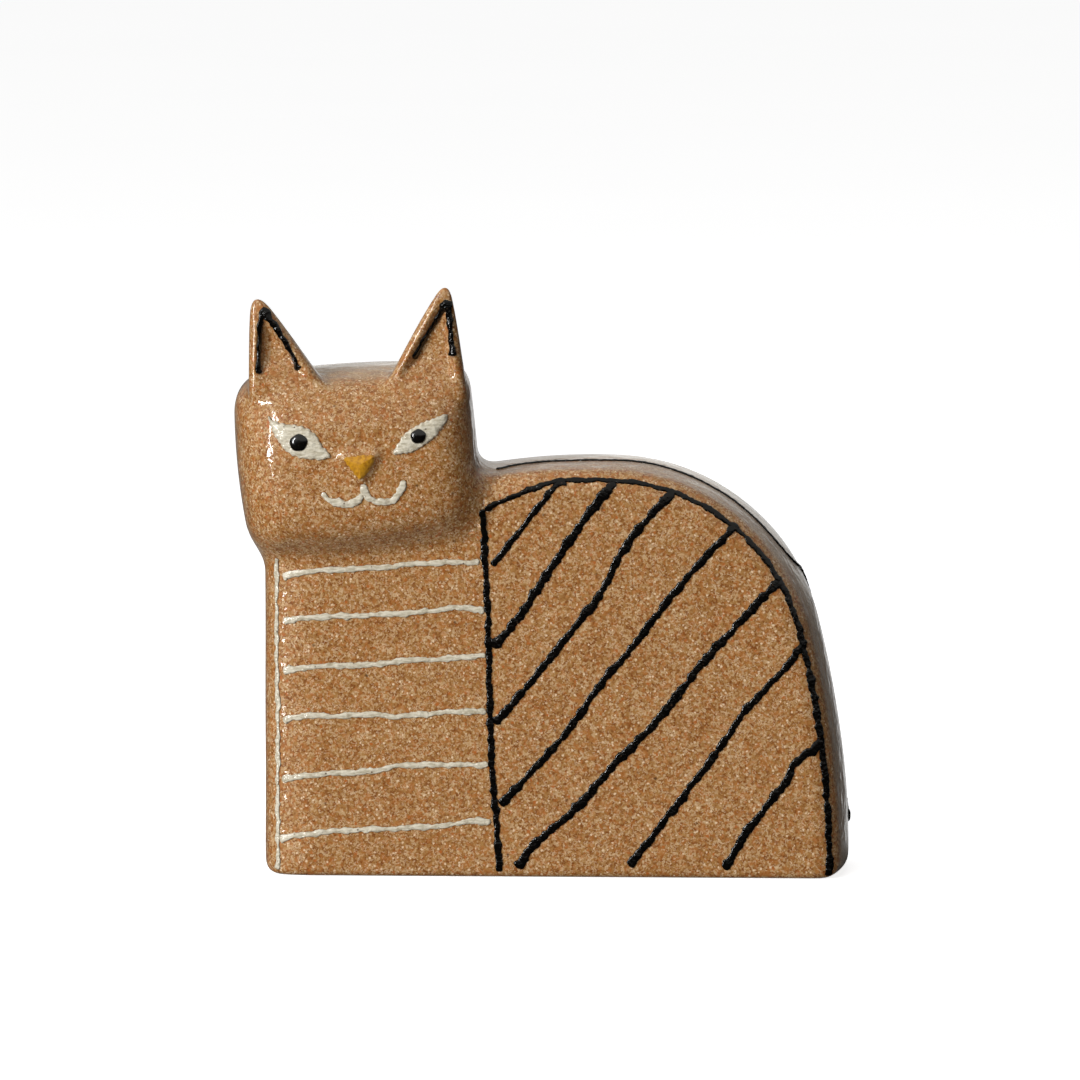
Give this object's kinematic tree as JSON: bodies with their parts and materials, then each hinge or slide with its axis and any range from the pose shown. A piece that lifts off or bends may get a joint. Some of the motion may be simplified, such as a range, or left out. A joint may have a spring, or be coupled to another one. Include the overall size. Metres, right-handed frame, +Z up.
{
  "type": "ceramic cat figurine",
  "caption": "Free-standing glazed stoneware cat: hollow slab body with an arched back, box head with pointed ears, and raised slip lines.",
  "frame": {"origin": "centre of the body's flat underside", "axes": "+X along the body from the head to the rump, +Y from the decorated front face to the back face, +Z up"},
  "size_m": [0.1547, 0.0655, 0.1508],
  "materials": {
    "speckled_glaze": "orange-brown speckled stoneware under a clear glossy glaze",
    "black_slip": "raised black slip line, glossy",
    "white_slip": "raised off-white slip line, satin gloss",
    "pupil_glaze": "domed black glaze, very glossy",
    "mustard_slip": "raised mustard slip, glossy"
  },
  "bodies": {
    "root": {"body_shell": "speckled_glaze", "head_shell": "speckled_glaze", "ear_left": "speckled_glaze", "ear_right": "speckled_glaze", "ear_trim_left": "black_slip", "ear_trim_right": "black_slip", "eye_left": "white_slip", "eye_right": "white_slip", "pupil_left": "pupil_glaze", "pupil_right": "pupil_glaze", "nose": "mustard_slip", "mouth_left": "white_slip", "mouth_right": "white_slip", "front_chest_edge": "white_slip", "front_chest_stripe_1": "white_slip", "front_chest_stripe_2": "white_slip", "front_chest_stripe_3": "white_slip", "front_chest_stripe_4": "white_slip", "front_chest_stripe_5": "white_slip", "front_chest_stripe_6": "white_slip", "front_divider": "black_slip", "front_outline": "black_slip", "front_flank_stripe_1": "black_slip", "front_flank_stripe_2": "black_slip", "front_flank_stripe_3": "black_slip", "front_flank_stripe_4": "black_slip", "front_flank_stripe_5": "black_slip", "front_flank_stripe_6": "black_slip", "front_flank_stripe_7": "black_slip", "back_chest_edge": "white_slip", "back_chest_stripe_1": "white_slip", "back_chest_stripe_2": "white_slip", "back_chest_stripe_3": "white_slip", "back_chest_stripe_4": "white_slip", "back_chest_stripe_5": "white_slip", "back_chest_stripe_6": "white_slip", "back_divider": "black_slip", "back_outline": "black_slip", "back_flank_stripe_1": "black_slip", "back_flank_stripe_2": "black_slip", "back_flank_stripe_3": "black_slip", "back_flank_stripe_4": "black_slip", "back_flank_stripe_5": "black_slip", "back_flank_stripe_6": "black_slip", "back_flank_stripe_7": "black_slip", "rim_line": "black_slip"}
  },
  "joints": []
}
